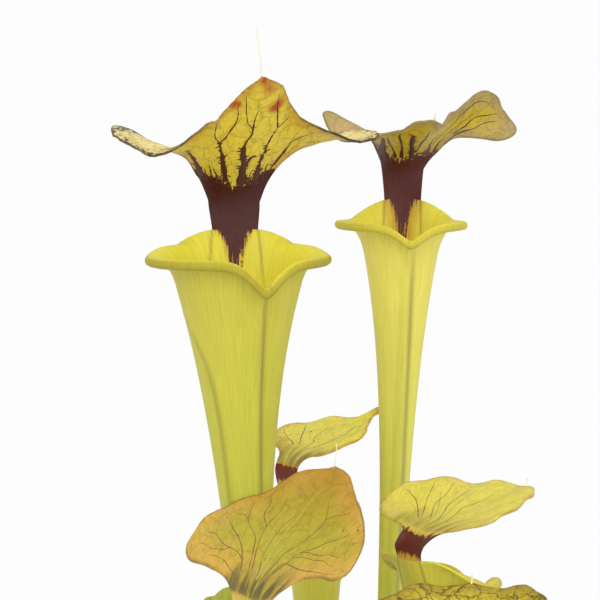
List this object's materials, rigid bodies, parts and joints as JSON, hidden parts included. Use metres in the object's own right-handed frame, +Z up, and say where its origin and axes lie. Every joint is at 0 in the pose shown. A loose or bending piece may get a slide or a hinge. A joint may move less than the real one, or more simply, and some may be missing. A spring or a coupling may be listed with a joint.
{
  "type": "yellow pitcher plant in a pot",
  "caption": "Potted yellow pitcher plant: upright hollow pitcher leaves with rolled lips and raised lids, standing in peat in a plain tapered pot.",
  "frame": {"origin": "centre of the pot's underside, on the surface that the pot stands on", "axes": "+Z up; the two tall pitchers open towards -Y, and +X is to their right as the picture shows them"},
  "size_m": [0.1666, 0.1715, 0.5148],
  "materials": {
    "pot": "matt black nursery pot",
    "soil": "dark fibrous peat",
    "leaf": "satin yellow-green leaf"
  },
  "bodies": {
    "root": {"pot": "pot", "soil": "soil", "pitcher_tall_left": "leaf", "pitcher_tall_right": "leaf", "pitcher_back": "leaf", "pitcher_front": "leaf", "pitcher_right": "leaf", "pitcher_low_right": "leaf", "pitcher_low_left": "leaf"}
  },
  "joints": []
}
